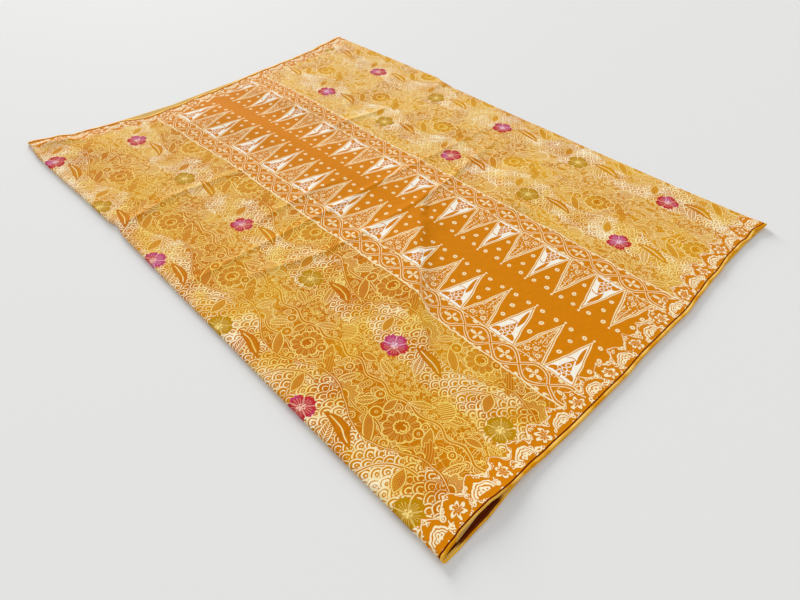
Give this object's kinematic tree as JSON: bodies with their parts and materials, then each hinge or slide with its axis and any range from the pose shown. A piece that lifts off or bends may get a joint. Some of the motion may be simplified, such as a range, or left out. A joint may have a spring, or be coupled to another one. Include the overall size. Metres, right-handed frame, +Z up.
{
  "type": "folded ceremonial sarong",
  "caption": "Length of hemmed batik cotton folded in three and laid flat, its panel of facing triangles in the middle of the top.",
  "frame": {"origin": "middle of the folded cloth's underside, on the surface it lies on", "axes": "+X across the cloth from its far hem to its near hem, +Y from the front fold to the back fold, +Z up"},
  "size_m": [1.0613, 0.7607, 0.0126],
  "materials": {
    "batik_cotton": "plain-woven cotton, wax-resist print in yellow-orange and cream with pink and olive flowers, dull with a faint sheen"
  },
  "bodies": {
    "root": {"sarong": "batik_cotton"}
  },
  "joints": []
}
